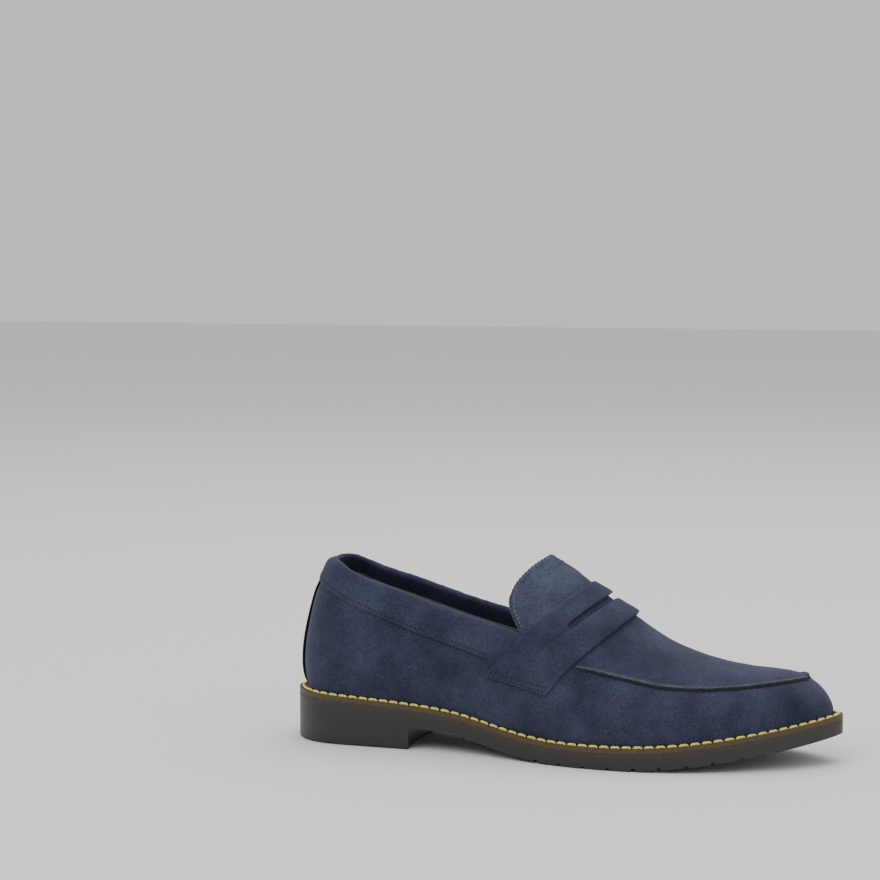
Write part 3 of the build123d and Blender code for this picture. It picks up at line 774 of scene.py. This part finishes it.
ts = np.concatenate([np.linspace(-sideT(collar["innerEnd"], 1), 0, collar["columns"])[:-1],
                     np.linspace(0, sideT(collar["outerEnd"], 1), collar["columns"])])
outLow, outHigh = np.array([bandLimits(t) for t in ts]).T
inLow, inHigh = np.array([bandLimits(t, True) for t in ts]).T
outLow = softened(carriedOn(ts, outLow, -sideT(116, 1), sideT(114, 1)), 2)
outHigh = softened(carriedOn(ts, outHigh, -sideT(131, 1), sideT(128, 1)), 2)
inLow = softened(carriedOn(ts, inLow, -sideT(129, 1), sideT(126, 1)), 2)
inHigh = softened(carriedOn(ts, inHigh, -sideT(131, 1), sideT(128, 1)), 2)


def bandPoint(t, lift, inside=False):
    hit = castAround(trees["band"], t, lift, inside)
    if hit is None:
        hit = castAround(trees["outside"], t, lift, inside)
        if hit is not None and not inside:
            start, flat = aroundAt(t)
            hit = hit + flat * 0.1 * mm
        if hit is not None and inside:
            start, flat = aroundAt(t)
            hit = hit - flat * 2.0 * mm
    return hit


columns = []
for t, low, high, fold, crest in zip(ts, outLow, outHigh, inLow, inHigh):
    bottom, top = bandPoint(t, low + 0.003), bandPoint(t, high - 0.006)
    foldPoint, crestPoint = bandPoint(t, fold + 0.003, True), bandPoint(t, crest - 0.006, True)
    if None in (bottom, top, foldPoint, crestPoint):
        columns.append(None)
        continue
    size, inSize = (top - bottom).length / mm, (crestPoint - foldPoint).length / mm
    outRoll = high - (high - low) * collar["roll"] / max(size, 6)
    inRoll = crest - (crest - fold) * collar["roll"] / max(inSize, 6)
    outer = [bandPoint(t, low + 0.003 + (outRoll - low - 0.003) * f) for f in np.linspace(0, 1, collar["outerRows"])]
    inner = [bandPoint(t, inRoll + (fold + 0.003 - inRoll) * f, True) for f in np.linspace(0, 1, collar["innerRows"])]
    if None in outer or None in inner:
        columns.append(None)
        continue
    below = castAround(trees["quarter"], t, fold - 0.03, True)
    start, flat = aroundAt(t)
    below = inner[-1] + (inner[-1] - inner[-2]) * 0.9 if below is None else below - flat * 0.35 * mm
    a, b = outer[-1], inner[0]
    middle, half = (a + b) / 2, (a - b) / 2
    rise = (Vector((0, 0, 1)) - half.normalized() * half.normalized().z).normalized()
    tall = max((top - a).length * 0.85, 0.0002)
    rollPoints = [middle + half * math.cos(turn) + rise * tall * math.sin(turn)
                  for turn in np.linspace(0, math.pi, collar["rollRows"] + 2)[1:-1]]
    columns.append([tuple(p) for p in outer + rollPoints + inner + [below]])
good = [i for i, c in enumerate(columns) if c]
ts, columns = ts[good], [columns[i] for i in good]
grid = softenedGrid(np.transpose(np.array(columns), (1, 0, 2)), 2)
normals = normalsOf(grid)
outside = outwardNormals(grid[:collar["outerRows"]])
if np.sum(outside[3:6] * normals[3:6]) < 0:
    normals = -normals
count = collar["outerRows"] + collar["rollRows"]
puffShape = np.zeros(len(grid))
puffShape[:count] = np.sin(np.linspace(0, math.pi, count) ** 1.0) ** 0.8
# the band lies flatter round the heel than along the sides
along = np.clip((np.abs(ts) - 20) / 60, 0.25, 1)
grid = grid + normals * (puffShape[:, None] * along[None] * collar["puff"] * mm)[..., None]
sunk = np.exp(-(ts / 26) ** 2)[None] * np.clip(1 - np.arange(len(grid)) / collar["outerRows"], 0, 1)[:, None]
grid = grid - normals * (collar["sink"] * mm * sunk)[..., None]
pucker = ripple(grid, normals, 9, 0.22) - grid
grid = grid + pucker * puffShape[:, None, None]
piece = thickPiece("collar_roll", grid, collar["skin"] * mm, normals)
finished(piece, suede, ["collar_band", "collar_padding"])
line = grid[1] + (grid[2] - grid[1]) * collar["stitchUp"] * 2
seen = (ts > -sideT(131, 1)) & (ts < sideT(120, 1))
places = stitchesAlong(line[seen], normals[1][seen], collar["stitchPitch"])
piece = threadPieces("collar_stitches", places, 1.6 * mm, 0.36 * mm)
finished(piece, navyThreadAndPaintedShade)
print("collar made", len(ts))

# ---- back stay: the strip up the heel's seam ----
stay = {"half": 9.8, "leather": 1.2, "columns": 15, "rows": 30}
ts = np.linspace(-stay["half"], stay["half"], stay["columns"])
limits = []
for t in ts:
    lifts = [math.radians(a) for a in np.arange(-45, 80, 1.0)]
    found = [a for a in lifts if castAround(trees["stay"], t, a) is not None]

    def hits(a):
        return castAround(trees["stay"], t, a) is not None
    limits.append((edgeOf(hits, found[0], found[0] - math.radians(1)), edgeOf(hits, found[-1], found[-1] + math.radians(1))))
limits = softened(limits, 3)
grid = softenedGrid(aroundGrid(trees["stay"], ts, limits[:, 0] + 0.004, limits[:, 1] - 0.004, stay["rows"]), 4)
outs = outwardNormals(grid)
piece = thickPiece("heel_strip", grid, stay["leather"] * mm, outs)
roundEdges(piece, 0.35)
finished(piece, suedeDark, ["back_stay"])
print("back stay made")

# ---- linings, seen through the opening ----
linings = {"leather": 0.8, "end": 150.0, "tip": 286.0}
ts = np.linspace(-sideT(linings["end"], 1), sideT(linings["end"], 1), 180)


def aboveInsock(hit):
    return hit.z > levelAt(insockTops, hit.x) - 0.001


limits = []
for t in ts:
    found = firstOf(lambda a: castAround(trees["quarter"], t, a, True) is not None, [0.1, 0.0, 0.2, -0.1, -0.2])
    limits.append(liftLimits(trees["quarter"], t, found or 0, -1.2, 1.4, aboveInsock, True) if found is not None
                  else (np.nan, np.nan))
limits = np.array(limits)
known = ~np.isnan(limits[:, 0])
limits = softened(np.column_stack([np.interp(ts, ts[known], limits[known, k]) for k in (0, 1)]), 2)
grid = softenedGrid(aroundGrid(trees["quarter"], ts, limits[:, 0], limits[:, 1] - 0.004, 16, True), 2)
outs = -outwardNormals(grid)
piece = thickPiece("quarter_lining_leather", grid, linings["leather"] * mm, outs)
finished(piece, lining, ["quarter_lining"])

us = np.sin(spacedUs(61) * math.pi / 2)
vs = np.sin(np.linspace(0, math.pi / 2, 50))
ends = {-1: (150.5, linings["tip"]), 1: (150.5, linings["tip"])}
turns, rears, fronts = overGrid(trees["vampLining"], ends, (150, 290), us, vs, tip=linings["tip"], inside=True,
                                test=aboveInsock)
rows = []
for i, u in enumerate(us):
    rows.append([overPoint(trees["vampLining"], rears[i] + (fronts[i] - rears[i]) * v,
                           math.pi / 2 + abs(u) * 0.995 * (turns[1 if u > 0 else -1][j] - math.pi / 2), True)
                 for j, v in enumerate(vs)])
grid = softenedGrid(filled(rows), 2)
piece = thickPiece("vamp_lining_leather", grid, linings["leather"] * mm, -outwardNormals(grid))
finished(piece, lining, ["vamp_lining"])
print("linings made")

# ---- footbed ----
footbed_ = {"leather": 0.9, "columns": 200, "rows": 14}
ts = np.linspace(0, roundTrip, footbed_["columns"], endpoint=False)


def footbedPoint(t, reach):
    start, flat = aroundAt(t)
    return trees["insock"].ray_cast(start + flat * reach + Vector((0, 0, 0.004)), Vector((0, 0, -1)))[0]


reaches = softened([edgeOf(lambda r: footbedPoint(t, r) is not None, 0.004, 0.07) for t in ts], 2, True) - 0.0003
grid = filled([[footbedPoint(t, max(reaches[j] * f, 0.0002)) for j, t in enumerate(ts)]
               for f in np.linspace(0, 1, footbed_["rows"])])
ups = np.zeros_like(grid)
ups[..., 2] = 1
piece = thickPiece("footbed_leather", grid, footbed_["leather"] * mm, ups, True)
finished(piece, footbed, ["insock_cover"])
print("footbed made")

# ---- welt stitches ----
weltThread = {"radius": 0.95, "length": 5.6, "raise": 0.1, "shortest": 3.5}
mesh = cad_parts["welt_stitches"].data
parents = list(range(len(mesh.vertices)))


def rootOf(i):
    while parents[i] != i:
        parents[i] = parents[parents[i]]
        i = parents[i]
    return i


for edge in mesh.edges:
    a, b = rootOf(edge.vertices[0]), rootOf(edge.vertices[1])
    parents[b] = a
groups = {}
for i, vertex in enumerate(mesh.vertices):
    groups.setdefault(rootOf(i), []).append(tuple(vertex.co))
places = []
for points in sorted(groups.values()):
    points = np.array(points)
    if np.linalg.norm(np.ptp(points, 0)) < weltThread["shortest"] * mm:
        continue
    middle = (points.min(0) + points.max(0)) / 2
    along = np.linalg.svd(points - points.mean(0))[2][0]
    places.append((middle + (0, 0, weltThread["raise"] * mm), along, (0, 0, 1)))
piece = threadPieces("welt_thread", places, weltThread["length"] * mm, weltThread["radius"] * mm, rings=13, segments=12)
finished(piece, creamThread, ["welt_stitches"])
print("welt stitches", len(places))

# ---- apron seam stitches on the wall, just under the lip; drawn large and near-black so that they also paint the scalloped shade under the lip ----
places = []
for middle, along, out in stitchesAlong(seam, seamOuts, apron["stitchPitch"], 1.0):
    places.append((middle, along, out))
stitches = []
for middle, along, out in places:
    along = np.array(along) / np.linalg.norm(along)
    out = np.array(out) / np.linalg.norm(out)
    down = np.cross(along, out)
    down *= -1 if down[2] > 0 else 1
    aim = Vector(middle) + Vector(down) * apron["stitchDrop"] * mm
    hit = trees["wall"].find_nearest(aim)
    if hit[0] is not None:
        stitches.append((hit[0], along, hit[1] if hit[1].dot(Vector(out)) > 0 else -hit[1]))
piece = threadPieces("apron_stitches_and_painted_shade", stitches, 2.3 * mm, 0.55 * mm)
finished(piece, navyThreadAndPaintedShade)

# ---- the flap's pieces get their transforms baked into their meshes ----
for piece in flapPieces:
    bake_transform(piece)

# ---- the sole's own pieces ----
rubber = solid("sole rubber, black", "#191a18", 0.45, 0.7, 0.18, 0.12, "#21221f", IOR=1.52)
middle = solid("midsole, brown", "#2b2019", 0.55, 1.4, 0.2, 0.15, "#3a2c23", IOR=1.5)
weltLeather = solid("welt, olive brown", "#4a3c14", 0.5, 1.1, 0.25, 0.15, "#3a2d14", IOR=1.5)
finishes = {"outsole": rubber, "heel_top_piece": rubber, "midsole": middle, "welt": weltLeather,
            "heel_nails": plain["nail steel"], "shank": plain["nail steel"], "bottom_filler": plain["cork"],
            "insole_board": plain["board"], "insock_foam": plain["foam"], "heel_counter": plain["stiffener"],
            "toe_puff": plain["stiffener"], "interlining": plain["canvas"]}
for name, material in finishes.items():
    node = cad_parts[name]
    node.data.materials.clear()
    node.data.materials.append(material)

# ---- ground, light and camera ----
studio = {"floor": "#e9e8e6", "floorSize": 6.0, "keyPower": 19.0, "fillPower": 6.0, "topPower": 22.0, "world": 0.72}
floorMesh = bpy.data.meshes.new("floor")
half = studio["floorSize"]
floorMesh.from_pydata([(-half, -half, 0), (half, -half, 0), (half, half, 0), (-half, half, 0)], [], [(0, 1, 2, 3)])
floor = bpy.data.objects.new("floor", floorMesh)
bpy.context.scene.collection.objects.link(floor)
floor.data.materials.append(solid("floor paper", studio["floor"], 0.9))


def softLight(name, power, size, place, aim=(0, 0, 0.05)):
    data = bpy.data.lights.new(name, "AREA")
    data.energy = power
    data.size = size
    light = bpy.data.objects.new(name, data)
    light.location = place
    light.rotation_euler = (Vector(aim) - Vector(place)).to_track_quat("-Z", "Y").to_euler()
    bpy.context.scene.collection.objects.link(light)


softLight("key", studio["keyPower"], 1.6, (-0.7, -1.5, 1.7))
softLight("fill", studio["fillPower"], 2.0, (1.6, -1.0, 0.9))
softLight("top", studio["topPower"], 1.8, (0.1, 0.7, 1.9))
world = bpy.data.worlds.new("studio")
world.use_nodes = True
world.node_tree.nodes["Background"].inputs["Color"].default_value = (1, 1, 1, 1)
world.node_tree.nodes["Background"].inputs["Strength"].default_value = studio["world"]
bpy.context.scene.world = world

camera = bpy.data.objects.new("camera", bpy.data.cameras.new("camera"))
camera.data.lens = 105.93
camera.data.sensor_width = 36
camera.location = (heelX + 0.5027, -1.3521 + 0.0035, 0.2804)
camera.rotation_euler = Vector((-0.2974, 0.9514, -0.0803)).to_track_quat("-Z", "Y").to_euler()
bpy.context.scene.collection.objects.link(camera)
bpy.context.scene.camera = camera
